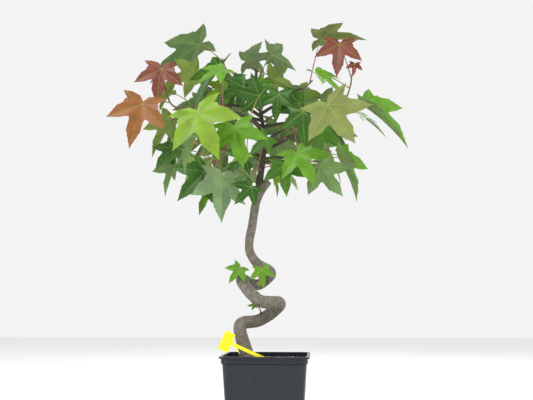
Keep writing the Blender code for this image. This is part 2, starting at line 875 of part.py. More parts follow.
def main():
    clean_scene()
    parts = make_collection("corkscrew_sweetgum")
    plastic = finish_material("pot_plastic", (0.006, 0.008, 0.014), 0.32)
    mix = finish_material("potting_mix", (0.06, 0.045, 0.03), 0.95)
    sheet = finish_material("label_sheet", (1.0, 0.85, 0.0), 0.4)
    bark = finish_material("bark", (0.22, 0.2, 0.15), 0.85)
    young_bark = finish_material("young_bark", (0.05, 0.045, 0.03), 0.7)
    foliage = finish_material("foliage", (0.12, 0.3, 0.03), 0.5)

    pot = build_pot(parts)
    label = build_label(parts)
    soil = build_soil(parts, label)
    trunk = build_trunk(parts)
    crown = Crown(parts)
    crown.paths["leader"] = smooth_path(LEADER, 12)
    swollen = {"trunk": build_trunk(parts, GAP), "leader": build_leader(parts, GAP)}
    leader = build_leader(parts)
    boolean(leader, "DIFFERENCE", swollen["trunk"])
    keep_largest_shell(leader)
    for thing in (trunk, leader, pot, label):
        crown.take(thing.name, thing)
    boughs = build_boughs(crown, swollen)
    tufts = build_tufts(crown, swollen)
    for cutter in swollen.values():
        remove_object(cutter)

    for material, things in (
        (plastic, [pot]),
        (mix, [soil]),
        (sheet, [label]),
        (bark, [trunk]),
        (young_bark, [leader, *boughs]),
        (foliage, tufts),
    ):
        for thing in things:
            thing.data.materials.clear()
            thing.data.materials.append(material)
    for thing in (trunk, leader, *boughs):
        thing.data.shade_smooth()
        thing.data.set_sharp_from_angle(angle=math.radians(50))
    print("leaves left out:", crown.skipped)


main()
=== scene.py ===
"""The looks of a young corkscrew sweetgum in its nursery pot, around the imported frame."""

import json
import math
import random
from functools import partial

import bmesh
import bpy
from mathutils import Matrix, Vector
from mathutils.bvhtree import BVHTree

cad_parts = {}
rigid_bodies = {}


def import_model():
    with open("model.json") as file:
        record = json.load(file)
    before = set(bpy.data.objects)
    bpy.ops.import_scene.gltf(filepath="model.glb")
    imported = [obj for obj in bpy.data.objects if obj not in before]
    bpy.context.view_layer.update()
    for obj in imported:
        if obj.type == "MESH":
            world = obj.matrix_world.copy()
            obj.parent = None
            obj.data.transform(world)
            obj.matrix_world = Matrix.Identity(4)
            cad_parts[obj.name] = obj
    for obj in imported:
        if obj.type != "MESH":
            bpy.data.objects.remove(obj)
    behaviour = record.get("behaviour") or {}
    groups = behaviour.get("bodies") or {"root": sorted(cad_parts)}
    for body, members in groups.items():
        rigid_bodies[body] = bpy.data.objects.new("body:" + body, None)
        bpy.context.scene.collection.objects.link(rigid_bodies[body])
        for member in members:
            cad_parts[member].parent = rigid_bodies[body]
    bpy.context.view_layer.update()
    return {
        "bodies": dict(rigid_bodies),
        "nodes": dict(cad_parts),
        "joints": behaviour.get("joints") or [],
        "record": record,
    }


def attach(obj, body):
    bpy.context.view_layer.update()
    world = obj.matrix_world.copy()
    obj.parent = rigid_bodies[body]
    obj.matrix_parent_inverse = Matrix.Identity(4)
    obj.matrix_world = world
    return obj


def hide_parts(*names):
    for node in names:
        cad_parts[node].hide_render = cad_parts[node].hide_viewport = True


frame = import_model()
scene = bpy.context.scene

# The room: a pale floor that the pot stands on, a white surround and soft lamps, with the camera
# where the photograph was taken from, a little right of straight ahead and looking slightly up.
FOCAL_PIXELS = 786.6
PICTURE_WIDTH = 533
CAMERA_AWAY = 1.196
CAMERA_HEIGHT = 0.201
CAMERA_UP = math.radians(7.7)
CAMERA_ROUND = math.radians(3.6)

ahead = Vector((-math.sin(CAMERA_ROUND), math.cos(CAMERA_ROUND), 0))
aside = Vector((math.cos(CAMERA_ROUND), math.sin(CAMERA_ROUND), 0))
looking = ahead * math.cos(CAMERA_UP) + Vector((0, 0, math.sin(CAMERA_UP)))
upward = aside.cross(looking)
lens = bpy.data.cameras.new("camera")
lens.sensor_width = 36
lens.lens = FOCAL_PIXELS / PICTURE_WIDTH * lens.sensor_width
camera = bpy.data.objects.new("camera", lens)
scene.collection.objects.link(camera)
turned = Matrix((aside, upward, -looking)).transposed().to_4x4()
camera.matrix_world = Matrix.Translation(-ahead * CAMERA_AWAY + Vector((0, 0, CAMERA_HEIGHT))) @ turned
scene.camera = camera

world = bpy.data.worlds.new("surround")
scene.world = world
world.use_nodes = True
world.node_tree.nodes["Background"].inputs["Color"].default_value = (1.0, 1.0, 1.0, 1.0)
world.node_tree.nodes["Background"].inputs["Strength"].default_value = 0.9
scene.view_settings.view_transform = "Standard"


def add_lamp(name, place, aim, size, watts):
    light = bpy.data.lights.new(name, "AREA")
    light.size = size
    light.energy = watts
    lamp = bpy.data.objects.new(name, light)
    lamp.location = place
    lamp.rotation_euler = (Vector(aim) - Vector(place)).to_track_quat("-Z", "Y").to_euler()
    scene.collection.objects.link(lamp)


add_lamp("key_lamp", (-0.9, -1.3, 1.9), (0, 0, 0.45), 0.9, 24)
add_lamp("fill_lamp", (1.3, -0.9, 1.0), (0, 0, 0.4), 1.2, 9)
add_lamp("back_lamp", (0.4, 1.5, 1.7), (0, 0, 0.5), 1.0, 14)

bpy.ops.mesh.primitive_plane_add(size=8, location=(0, 0, 0))
floor = bpy.context.object
floor.name = "floor"
floor_paint = bpy.data.materials.new("floor_paint")
floor_paint.use_nodes = True
floor_paint.node_tree.nodes["Principled BSDF"].inputs["Base Color"].default_value = (0.86, 0.86, 0.85, 1)
floor_paint.node_tree.nodes["Principled BSDF"].inputs["Roughness"].default_value = 0.9
floor.data.materials.append(floor_paint)

# How the tree grows: the rule that grew the solids, run again with the same draws, so that every
# leaf comes out where its solid stands. It only finds places; the wood and leaves follow below.
MM = 0.001
GAP = 0.3
SEED = 29
TRUNK_FOOT = ((-29, 1, 116), (-30, 0, 128), (-35, -2, 148))
QUARTER_TURNS = (
    (-10, 29, 174),
    (-10, 22, 181),
    (-8, 28, 205),
    (-10, 26, 210),
    (-14, 24, 241),
    (-15, 21, 234),
    (-14, 21, 251),
    (-14, 15, 266),
)
TRUNK_RUN = ((-25, -10, 284), (-25, -8, 302), (-21, -4, 326), (-17, -2, 354), (-10, 0, 374))
TRUNK_STUB = ((-2, 0, 386), (8, 0, 400))
TRUNK_RADII = ((0.0, 12.5), (0.03, 11.2), (0.09, 9.6), (0.4, 9.3), (0.62, 8.0), (0.74, 6.6), (1.0, 6.4))
STUB_CUT = ((3.0, 0.0, 393.0), (0.75, 0.0, 0.66))
TRUNK_STEP = 8.0
LEADER = (
    (-10, 0, 374),
    (-11, 1, 390),
    (-8, 2, 410),
    (-5, 2, 432),
    (-4, 2, 456),
    (-7, 1, 488),
    (-12, 0, 518),
    (-16, 0, 540),
    (-16, 0, 574),
)
LEADER_RADII = ((0.0, 6.2), (0.2, 4.8), (0.4, 3.2), (1.0, 2.3))
BOUGHS = {
    "bough_top_left": ((-15, 0, 532), (-34, -4, 546), (-50, -6, 553)),
    "bough_top_right": ((-11, 0, 510), (18, 4, 524), (44, 4, 534)),
    "bough_left": ((-8, 1, 494), (-34, -6, 508), (-62, -8, 511)),
    "bough_right": ((-4, 2, 438), (23, -5, 452), (44, -10, 461)),
    "bough_front_left": ((-6, 1, 476), (-24, -36, 483), (-42, -62, 486)),
    "bough_front": ((-5, 2, 463), (-10, -34, 469), (-17, -62, 471)),
    "bough_front_right": ((-4, 2, 450), (14, -34, 457), (32, -56, 461)),
    "bough_low_left": ((-6, 2, 424), (-30, -5, 434), (-52, -10, 434)),
    "bough_low_right": ((-5, 2, 427), (18, -14, 426), (40, -24, 422)),
}
BOUGH_RADII = (3.0, 1.9)
BACK_BOUGHS = {
    "bough_back_low_right": (38, 421, 46, 8),
    "bough_back_low": (92, 414, 48, 6),
    "bough_back_low_left": (150, 433, 50, 8),
    "bough_back_mid_right": (18, 480, 66, 12),
    "bough_back_mid": (72, 450, 66, 14),
    "bough_back_mid_left": (128, 464, 66, 14),
    "bough_back_left": (166, 486, 70, 12),
    "bough_back_top_right": (50, 500, 52, 22),
    "bough_back_top_left": (116, 520, 50, 20),
}
TUFTS = {
    "leaves_top_left": (
        "bough_top_left",
        ((-62, -6, 566), (-70, -2, 588)),
        (
            (-108, 6, 614, 210, 0, 97, 10, 100),
            (-112, -12, 561, 198, 8, 132, 10, 54),
            (-68, -22, 561, 231, 18, 64, 34, 82),
            (-60, -52, 534, 214, 16, 10, 12, 48),
            (-56, 14, 560, 258, 0, 8, 10, 46),
        ),
    ),
    "leaves_crown": (
        "leader",
        ((-16, 0, 546), (-8, -10, 560), (-4, -14, 568)),
        (
            (-34, -20, 581, 188, 12, 112, 6, 66),
            (-30, -2, 583, 18, -8, -112, 8, 56),
            (8, -6, 590, -32, 10, -122, 8, 56),
            (4, 16, 566, -28, 0, -148, 10, 54),
        ),
    ),
    "leaves_left_tip": (
        "bough_left",
        ((-101, -12, 510), (-142, -15, 508), (-155, -18, 532), (-159, -19, 552)),
        (
            (-162, -24, 566, 264, 14, 2, 14, 58),
            (-188, -32, 507, 254, 10, 0, 16, 74),
            (-137, -24, 490, 238, 6, 108, 46, 90),
            (-148, 4, 446, 226, 0, 20, 18, 42),
            (-147, 20, 424, 250, 4, 112, 44, 60),
            (-114, -26, 455, 262, 10, 0, 20, 20),
        ),
    ),
    "leaves_front_left": (
        "bough_front_left",
        ((-58, -90, 488), (-66, -104, 488)),
        (
            (-87, -136, 467, -65, 18, 0, 8, 78),
            (-96, -84, 446, 246, 4, 104, 46, 60),
            (-58, -96, 540, 208, 22, 40, 10, 44),
        ),
    ),
    "leaves_front": (
        "bough_front",
        ((-24, -84, 472), (-28, -94, 470)),
        (
            (-38, -114, 450, -77, 16, 0, 8, 62),
            (-26, -58, 424, 205, 8, 30, 10, 26),
            (-6, -70, 508, 172, 20, -30, 12, 46),
        ),
    ),
    "leaves_front_right": (
        "bough_front_right",
        ((48, -74, 464), (56, -80, 466)),
        (
            (94, -104, 484, -60, 12, 178, 6, 76),
            (58, -92, 476, -90, 12, 6, 12, 56),
            (50, -84, 420, -64, 14, -4, 10, 60),
            (52, -40, 504, 188, 6, -20, 14, 44),
        ),
    ),
    "leaves_low_front": (
        "leader",
        ((-8, 2, 408), (-12, -24, 410), (-14, -38, 408)),
        (
            (-18, -66, 373, 226, 10, 0, 8, 36),
            (2, -34, 452, 232, 10, 0, 14, 40),
            (-30, -30, 428, 226, 8, 10, 14, 42),
        ),
    ),
    "leaves_low_left": (
        "bough_low_left",
        ((-70, -12, 426), (-80, -12, 418)),
        (
            (-92, -34, 402, 228, 10, 4, 14, 60),
            (-88, 22, 384, 240, 4, 30, 20, 46),
            (-62, -46, 391, 266, 6, 150, 28, 72),
            (-54, 16, 388, 254, 2, 140, 24, 42),
            (-128, -6, 440, 214, 0, 24, 20, 40),
        ),
    ),
    "leaves_low_right": (
        "bough_low_right",
        ((62, -26, 418), (78, -22, 418)),
        (
            (110, -22, 423, -59, 4, -72, 46, 72),
            (82, -54, 404, -56, 8, 168, 12, 60),
            (30, -58, 404, -84, 10, 0, 14, 50),
            (8, 20, 402, -69, 0, -66, 30, 36),
        ),
    ),
    "leaves_right_tip": (
        "bough_right",
        ((82, -15, 487), (118, -12, 512), (129, -10, 534), (133, -11, 556)),
        (
            (114, -22, 600, 264, 14, 0, 12, 54),
            (137, -16, 570, 262, 16, 0, 14, 20),
            (153, -22, 500, -37, 4, -62, 40, 88),
            (198, 4, 520, -49, 0, -96, 8, 74),
            (80, -34, 550, -37, 8, -58, 20, 54),
            (78, 6, 472, -31, 0, -20, 14, 54),
        ),
    ),
    "leaves_middle_left": (
        "leader",
        ((-9, 1, 502), (-20, -18, 508), (-26, -26, 514)),
        (
            (-31, -42, 526, 204, 10, 10, 12, 46),
            (-54, 8, 545, 258, 4, 8, 12, 44),
            (-12, -30, 540, -60, 10, 20, 12, 40),
        ),
    ),
    "leaves_middle_right": (
        "leader",
        ((-6, 1, 484), (12, -16, 492), (20, -26, 498)),
        (
            (22, -38, 516, -104, 8, 8, 12, 46),
            (50, -34, 500, 178, 6, -14, 14, 44),
        ),
    ),
    "leaves_right_top": (
        "bough_top_right",
        ((62, 4, 542), (72, 4, 552)),
        (
            (86, 2, 618, 6, 0, -100, 8, 72),
            (62, -38, 529, -42, 12, 172, 10, 50),
            (54, 26, 538, 176, 0, 96, 14, 46),
            (22, 30, 560, -112, 4, 20, 12, 44),
        ),
    ),
}
SPROUTS = {
    "sprout_front": (
        "trunk",
        ((-8, -13, 262), (-8, -30, 262)),
        ((-5, -36, 255, -84, 6, 0, 6, 28), (-10, -27, 236, -40, 4, 150, 30, 10)),
    ),
    "sprout_left": (
        "trunk",
        ((-37, 0, 241), (-44, -12, 250)),
        ((-39, -15, 258, 234, 8, 6, 8, 29), (-46, -14, 232, 214, 8, 4, 12, 20)),
    ),
    "sprout_low": (
        "trunk",
        ((-9, 22, 183), (-10, 8, 196)),
        ((-17, 0, 203, 184, 6, 30, 16, 13),),
    ),
}
RULED_LEAVES = 5
RULED_STEM = 46.0
RULED_STALK = (34.0, 56.0)
RULED_BLADE = (56.0, 76.0)
RULED_DIP = (24.0, 62.0)
RULED_FOLD = (6, 26)
SPIRAL = 144.0
CROWN_MIDDLE = Vector((4, 8, 500))
CROWN_REACH = Vector((262, 206, 190))
LOBES = ((-112, 0.56, 0.0), (-56, 0.84, 0.15), (0, 1.0, 0.17), (56, 0.84, 0.15), (112, 0.56, 0.0))
SINUS = 0.4
SHOULDER = 0.6
NOTCH = 0.06
BLADE_THICK = 1.0
DROOP = 0.16
STALK_RADIUS = 0.9
TWIG_TIP = 1.1
TRIES = 22
TRIED_SHIFT = (26, 5)  # the most that a listed leaf is moved away from the viewer and up
TRIED_TURN = (10, 16, 24)
TRIED_SHORTER = 0.12
CLEAR = 1.6  # how much thicker a blade is taken to be while its place is tried


def along(table, share):
    """A size read from (share, size) stations, in a straight line between them."""
    for (low, first), (high, second) in zip(table, table[1:]):
        if share <= high:
            return first + (second - first) * (share - low) / (high - low)
    return table[-1][1]


def smooth_path(points, step):
    """Points about one step apart on a smooth curve through the given ones."""
    points = [Vector(point) for point in points]
    padded = [2 * points[0] - points[1], *points, 2 * points[-1] - points[-2]]
    path = []
    for before, start, end, after in zip(padded, padded[1:], padded[2:], padded[3:]):
        count = max(1, round((end - start).length / step))
        for i in range(count):
            t = i / count
            path.append(
                0.5
                * (
                    2 * start
                    + (end - before) * t
                    + (2 * before - 5 * start + 4 * end - after) * t * t
                    + (3 * start - before - 3 * end + after) * t * t * t
                )
            )
    return [*path, points[-1]]


def shares(path):
    """How far along the path each point lies, from 0 to 1."""
    lengths = [0.0]
    for first, second in zip(path, path[1:]):
        lengths.append(lengths[-1] + (second - first).length)
    return [length / lengths[-1] for length in lengths]


def tapered(path, start, end):
    return [start + (end - start) * share for share in shares(path)]


def trunk_path():
    points = [*TRUNK_FOOT]
    for quarter, (middle, radius, height) in enumerate(QUARTER_TURNS):
        turn = math.radians(180 - 90 * quarter)
        points.append((middle + radius * math.cos(turn), radius * math.sin(turn), height))
    return smooth_path([*points, *TRUNK_RUN, *TRUNK_STUB], TRUNK_STEP)


def add_object(name, data, collection):
    thing = bpy.data.objects.new(name, data)
    collection.objects.link(thing)
    return thing


def remove_object(thing):
    data = thing.data
    bpy.data.objects.remove(thing, do_unlink=True)
    if isinstance(data, bpy.types.Mesh) and not data.users:
        bpy.data.meshes.remove(data)


def evaluated_mesh(thing):
    graph = bpy.context.evaluated_depsgraph_get()
    return bpy.data.meshes.new_from_object(thing.evaluated_get(graph))


def tube(name, path, radii, collection, roundness=1):
    """A tapering limb in millimetres: a curve with a round bevel and filled ends, made a mesh."""
    curve = bpy.data.curves.new(name, "CURVE")
    curve.dimensions = "3D"
    curve.bevel_depth = MM
    curve.bevel_resolution = roundness
    curve.use_fill_caps = True
    spline = curve.splines.new("POLY")
    spline.points.add(len(path) - 1)
    for point, place, radius in zip(spline.points, path, radii):
        point.co = (*(place * MM), 1.0)
        point.radius = radius
    wire = add_object(name + "_curve", curve, collection)
    body = bmesh.new()
    body.from_mesh(evaluated_mesh(wire))
    bmesh.ops.remove_doubles(body, verts=body.verts, dist=0.00001)
    bmesh.ops.recalc_face_normals(body, faces=body.faces)
    mesh = bpy.data.meshes.new(name)
    body.to_mesh(mesh)
    body.free()
    limb = add_object(name, mesh, collection)
    limb.matrix_world = wire.matrix_world
    bpy.data.objects.remove(wire, do_unlink=True)
    bpy.data.curves.remove(curve)
    return limb


def blade_rise(turn, reach, fold):
    """How far a blade stands off its flat, as a share of its length: droop less fold."""
    across = abs(math.sin(turn)) * reach
    return across * math.tan(fold) * 0.6 - DROOP * reach * reach


def blade(name, length, fold_deg, place, collection, thick=BLADE_THICK):
    """A lobed leaf blade, thin and closed: a fan of faces each side of its midribs."""
    fold = math.radians(fold_deg)
    rim = []
    for i, (angle, size, width) in enumerate(LOBES):
        turn = math.radians(angle)
        spread = math.atan(width / (SHOULDER * size))
        if width:
            rim.append((turn - spread, math.hypot(SHOULDER * size, width)))
        rim.append((turn, size))
        if width:
            rim.append((turn + spread, math.hypot(SHOULDER * size, width)))
        if i + 1 < len(LOBES):
            rim.append((math.radians((angle + LOBES[i + 1][0]) / 2), SINUS))
    rim.append((math.pi, NOTCH))
    body = bmesh.new()
    sides = []
    for side in (0.5, -0.5):
        lift = Vector((0, 0, side * thick))
        ring = []
        for turn, reach in rim:
            flat = Vector((math.sin(turn), math.cos(turn), 0)) * reach
            flat.z = blade_rise(turn, reach, fold)
            flat.x *= math.cos(fold)
            ring.append(body.verts.new((flat * length + lift) * MM))
        sides.append((body.verts.new(lift * MM), ring))
    (top, upper), (bottom, lower) = sides
    for i in range(len(rim)):
        j = (i + 1) % len(rim)
        body.faces.new((top, upper[j], upper[i]))
        body.faces.new((bottom, lower[i], lower[j]))
        body.faces.new((upper[i], upper[j], lower[j]))
        body.faces.new((upper[i], lower[j], lower[i]))
    bmesh.ops.transform(body, matrix=place, verts=body.verts)
    bmesh.ops.recalc_face_normals(body, faces=body.faces)
    mesh = bpy.data.meshes.new(name)
    body.to_mesh(mesh)
    body.free()
    return add_object(name, mesh, collection)


def blade_place(base, direction, upper_face):
    """The matrix that lays a blade's middle lobe along a direction with its upper face turned so."""
    face = (upper_face - direction * upper_face.dot(direction)).normalized()
    across = direction.cross(face)
    turn = Matrix((across, direction, face)).transposed().to_4x4()
    return Matrix.Translation(base * MM) @ turn


def viewed_frame(heading, toward, roll):
    """Direction and upper face of a blade from the angles that the tables give."""
    heading, toward, roll = map(math.radians, (heading, toward, roll))
    direction = Vector(
        (math.cos(heading) * math.cos(toward), -math.sin(toward), math.sin(heading) * math.cos(toward))
    )
    viewer = Vector((0, -1, 0))
    shown = (viewer - direction * viewer.dot(direction)).normalized()
    return direction, math.cos(roll) * shown + math.sin(roll) * direction.cross(shown)


def stalk_path(root, base, direction):
    """A leaf stalk that arches up from the stem and ends inside the blade."""
    middle = (root + base) / 2 + Vector((0, 0, 0.14 * (base - root).length))
    path = []
    for i in range(3):
        t = i / 3
        path.append(root * (1 - t) ** 2 + middle * 2 * t * (1 - t) + base * t * t)
    return [*path, base, base + direction * 2.0]


def nearest_share(path, target, setback):
    """The place along a stem that lies a little before the point nearest the target."""
    best = min(range(len(path)), key=lambda i: (path[i] - target).length)
    return path[min(len(path) - 1, max(2, best - setback))]


def surface(thing):
    body = bmesh.new()
    body.from_mesh(thing.data)
    tree = BVHTree.FromBMesh(body)
    body.free()
    return tree


class Crown:
    """What has been grown so far, and the surfaces that nothing more may touch."""

    def __init__(self, parts):
        self.parts = parts
        self.taken = {}
        self.paths = {}
        self.leaves = []

    def take(self, owner, path, radii, roundness):
        limb = tube(owner, path, radii, self.parts, roundness)
        self.taken.setdefault(owner, []).append(surface(limb))
        remove_object(limb)

    def free(self, trees, stem_owner):
        for owner, others in self.taken.items():
            if owner == stem_owner:
                continue
            for other in others:
                if any(tree.overlap(other) for tree in trees):
                    return False
        return True

    def leaf(self, owner, root, base, frame, length, fold):
        """Keeps one leaf if its stalk and blade are clear of everything but their own stem."""
        direction, upper_face = frame
        place = blade_place(base, direction, upper_face)
        path = stalk_path(root, base, direction)
        tested = [path[0].lerp(path[1], 0.3), *path[1:]]
        wide = tube(owner + "_try", tested, [STALK_RADIUS + CLEAR / 3] * len(tested), self.parts, 0)
        tried = blade(owner + "_tried", length * 1.01, fold, place, self.parts, BLADE_THICK + CLEAR)
        trees = [surface(wide), surface(tried)]
        remove_object(wide)
        remove_object(tried)
        if not self.free(trees, owner + "_stem"):
            return False
        self.taken.setdefault(owner, []).extend(trees)
        self.leaves.append((owner, path, place, length, fold))
        return True


def try_tuft_leaf(crown, owner, stem, row, draw):
    """Places a listed leaf, turning and shifting it a little until it is clear."""
    x, y, z, heading, toward, roll, fold, length = row
    for attempt in range(TRIES):
        ease = attempt / TRIES
        away, up = (draw.uniform(-most, most) * ease for most in TRIED_SHIFT)
        base = Vector((x, y + away, z + up))
        turns = (draw.uniform(-most, most) * ease for most in TRIED_TURN)
        frame = viewed_frame(*(angle + more for angle, more in zip((heading, toward, roll), turns)))
        root = nearest_share(stem, base, 1)
        if crown.leaf(owner, root, base, frame, length * (1 - TRIED_SHORTER * ease), fold):
            return True
    return False


def try_ruled_leaf(crown, owner, stem, index, round_angle, draw):
    """Grows a leaf by the rule: spiral round the stem, stalk outward, blade hanging outward."""
    share = (index + 1) / RULED_LEAVES
    root = stem[round((len(stem) - 1) * share)]
    for _ in range(TRIES):
        spin = math.radians(SPIRAL * index + draw.uniform(-30, 30))
        swing = round_angle + math.radians(62) * math.sin(spin) * (1.15 - 0.6 * share)
        rise = math.radians(14 + 30 * math.cos(spin) + draw.uniform(-10, 10))
        reach = draw.uniform(*RULED_STALK)
        outward = Vector((math.cos(swing), math.sin(swing), 0))
        base = root + (outward * math.cos(rise) + Vector((0, 0, math.sin(rise)))) * reach
        dip = math.radians(draw.uniform(*RULED_DIP))
        direction = outward * math.cos(dip) - Vector((0, 0, math.sin(dip)))
        sideways = Vector((-outward.y, outward.x, 0)) * draw.uniform(-0.4, 0.4)
        upper_face = outward * math.sin(dip) + Vector((0, 0, math.cos(dip))) + sideways
        length = draw.uniform(*RULED_BLADE)
        tip = base + direction * length - CROWN_MIDDLE
        if Vector(a / b for a, b in zip(tip, CROWN_REACH)).length > 1:
            continue
        if crown.leaf(owner, root, base, (direction, upper_face), length, draw.uniform(*RULED_FOLD)):
            return True
    return False


def stem_path(crown, carrier, route):
    """The stem of a tuft: on from its bough's tip, or out from inside a thicker limb."""
    if carrier not in BOUGHS and carrier not in BACK_BOUGHS:
        return smooth_path(route, 8)
    bough = crown.paths[carrier]
    onward = (bough[-1] - bough[-2]).normalized()
    start = bough[-1] + onward * GAP
    return smooth_path([start, start + onward * 3, *route], 8)


growing = bpy.data.collections.new("growing")
scene.collection.children.link(growing)
crown = Crown(growing)
trunk_line = trunk_path()
leader_line = smooth_path(LEADER, 12)
crown.paths["leader"] = leader_line
crown.take("trunk", trunk_line, [along(TRUNK_RADII, share) for share in shares(trunk_line)], 3)
crown.take("leader", leader_line, [along(LEADER_RADII, share) for share in shares(leader_line)], 3)
routes = dict(BOUGHS)
for name, (angle, height, reach, rise) in BACK_BOUGHS.items():
    turn = math.radians(angle)
    out = Vector((math.cos(turn), math.sin(turn), 0))
    root = min(leader_line, key=lambda point: abs(point.z - height))
    routes[name] = (
        root,
        root + out * reach * 0.5 + Vector((0, 0, rise * 0.7)),
        root + out * reach + Vector((0, 0, rise)),
    )
for name, route in routes.items():
    crown.paths[name] = smooth_path(route, 12)
    crown.take(name, crown.paths[name], tapered(crown.paths[name], *BOUGH_RADII), 1)

draw = random.Random(SEED)
stems = {}
for name, (carrier, route, rows) in {**TUFTS, **SPROUTS}.items():
    stems[name] = (stem_path(crown, carrier, route), rows)
for bough, (angle, *_) in BACK_BOUGHS.items():
    turn = math.radians(angle)
    tip = crown.paths[bough][-1]
    end = tip + Vector((math.cos(turn), math.sin(turn), 0.3)) * RULED_STEM
    route = (tip + (end - tip) * 0.5 + Vector((0, 0, 3)), end)
    stems[bough.replace("bough", "leaves")] = (stem_path(crown, bough, route), turn)
stem_radii = {}
for name, (path, _) in stems.items():
    thick = BOUGH_RADII[1] if name.startswith("leaves") else STALK_RADIUS * 1.5
    stem_radii[name] = (thick, TWIG_TIP)
    crown.take(name + "_stem", path, tapered(path, thick, TWIG_TIP), 1)
kept = []
for name, (path, rows) in stems.items():
    if isinstance(rows, tuple):
        for index, row in enumerate(rows):
            if try_tuft_leaf(crown, name, path, row, draw):
                kept.append(index)
for name, (path, turn) in stems.items():
    if isinstance(turn, float):
        for index in range(RULED_LEAVES):
            if try_ruled_leaf(crown, name, path, index, turn, draw):
                kept.append(index)
bpy.data.collections.remove(growing)

# The pot: one injection moulding in near-black recycled plastic, satin, with faint upright flow
# marks in its walls, fine scuffs and a little dust.
class Finish:
    """A material whose node sockets are wrapped, so that shader sums read as expressions."""

    def __init__(self, name, **constants):
        self.material = bpy.data.materials.new(name)
        self.material.use_nodes = True
        self.tree = self.material.node_tree
        self.shader = self.tree.nodes["Principled BSDF"]
        for socket, value in constants.items():
            self.shader.inputs[socket.replace("_", " ")].default_value = value

    def node(self, kind, settings=(), **sockets):
        node = self.tree.nodes.new(kind)
        for key, value in dict(settings).items():
            setattr(node, key, value)
        for key, value in sockets.items():
            self.feed(node.inputs[key.replace("_", " ")], value)
        return node

    def feed(self, socket, value):
        if isinstance(value, Value):
            self.tree.links.new(value.socket, socket)
        elif isinstance(value, bpy.types.NodeSocket):
            self.tree.links.new(value, socket)
        else:
            socket.default_value = value

    def noise(self, scale, detail=2.0, stretch=(1, 1, 1)):
        place = self.node("ShaderNodeTexCoord").outputs["Object"]
        place = self.node("ShaderNodeMapping", Vector=place, Scale=stretch).outputs["Vector"]
        noise = self.node("ShaderNodeTexNoise", Vector=place, Scale=scale, Detail=detail)
        return Value(self, noise.outputs["Fac"])

    def mix(self, share, first, second):
        node = self.node("ShaderNodeMix", {"data_type": "RGBA"})
        self.feed(node.inputs["Factor"], share)
        self.feed(node.inputs[6], first)
        self.feed(node.inputs[7], second)
        return node.outputs[2]

    def band(self, value, low, high):
        node = self.node("ShaderNodeMapRange", Value=value, From_Min=low, From_Max=high)
        return Value(self, node.outputs["Result"])

    def bump(self, height, distance, strength=1.0):
        bump = self.node("ShaderNodeBump", Height=height, Strength=strength, Distance=distance)
        self.feed(self.shader.inputs["Normal"], bump.outputs["Normal"])

    def colour(self, value):
        self.feed(self.shader.inputs["Base Color"], value)

    def rough(self, value):
        self.feed(self.shader.inputs["Roughness"], value)


class Value:
    """A socket that holds a number; sums on it add Math nodes."""

    def __init__(self, finish, socket):
        self.finish = finish
        self.socket = socket

    def maths(self, operation, first, second):
        node = self.finish.node("ShaderNodeMath", {"operation": operation})
        self.finish.feed(node.inputs[0], first)
        self.finish.feed(node.inputs[1], second)
        return Value(self.finish, node.outputs[0])

    def __add__(self, other):
        return self.maths("ADD", self, other)

    def __sub__(self, other):
        return self.maths("SUBTRACT", self, other)

    def __rsub__(self, other):
        return self.maths("SUBTRACT", other, self)

    def __mul__(self, other):
        return self.maths("MULTIPLY", self, other)

    __radd__ = __add__
    __rmul__ = __mul__


moulding = Finish("moulding", IOR=1.5)
flow = moulding.noise(60, 2, (1, 1, 0.05))
scuffs = moulding.band(moulding.noise(300, 3, (1, 1, 0.3)), 0.62, 0.72)
moulding.colour(moulding.mix(0.4 * scuffs, (0.005, 0.008, 0.017, 1), (0.05, 0.055, 0.065, 1)))
moulding.rough(0.2 + 0.16 * flow + 0.2 * scuffs)
moulding.bump(flow, 0.0006, 0.4)
pot = frame["nodes"]["pot"]
pot.data.materials.clear()
pot.data.materials.append(moulding.material)

# The label: punched from bright yellow sheet, a little glossy, with rain specks and grime. Its
# face is left blank.
sheet = Finish("label_sheet")
specks = sheet.band(sheet.noise(900, 2), 0.66, 0.74)
sheet.colour(sheet.mix(0.4 * specks, (1.0, 0.86, 0.0, 1), (0.55, 0.42, 0.05, 1)))
sheet.rough(0.3 + 0.25 * sheet.noise(250))
label = frame["nodes"]["label"]
label.data.materials.clear()
label.data.materials.append(sheet.material)

# The mix: dark bark and peat with pale pumice and tan pebbles, filled to just under the rim. A
# rough skin closes it, and rough pebbles lie half sunk in that.
MIX_HALF = 0.0602
MIX_CORNER = 0.009
MIX_LEVEL = 0.1216
MIX_EDGE_DROP = 0.0012
MIX_CELLS = 48
MIX_RINGS = ((0.97, 0.1185), (0.837, 0.0022))
GRAINS = 1900


def grain(body, place, size, draw, kind):
    """One rough pebble: a squashed ball with its points pulled about."""
    axis = Vector((draw.random(), draw.random(), draw.random() + 0.1)).normalized()
    turn = Matrix.Rotation(draw.uniform(0, math.tau), 4, axis)
    squash = Matrix.Diagonal((1, draw.uniform(0.6, 1), draw.uniform(0.45, 0.8), 1))
    made = bmesh.ops.create_icosphere(
        body, subdivisions=1, radius=size, matrix=Matrix.Translation(place) @ turn @ squash
    )
    for vert in made["verts"]:
        vert.co = place + (vert.co - place) * draw.uniform(0.8, 1.15)
        for face in vert.link_faces:
            face.material_index = kind


def new_piece(name, body, finishes, nodes, smooth=None):
    """Makes a finished mesh a piece of the scene that stands in for the nodes."""
    bmesh.ops.recalc_face_normals(body, faces=body.faces)
    mesh = bpy.data.meshes.new(name)
    body.to_mesh(mesh)
    body.free()
    piece = bpy.data.objects.new(name, mesh)
    scene.collection.objects.link(piece)
    for finish in finishes:
        mesh.materials.append(finish.material)
    if smooth:
        mesh.shade_smooth()
        mesh.set_sharp_from_angle(angle=math.radians(smooth))
    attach(piece, "root")
    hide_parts(*nodes)
    return piece


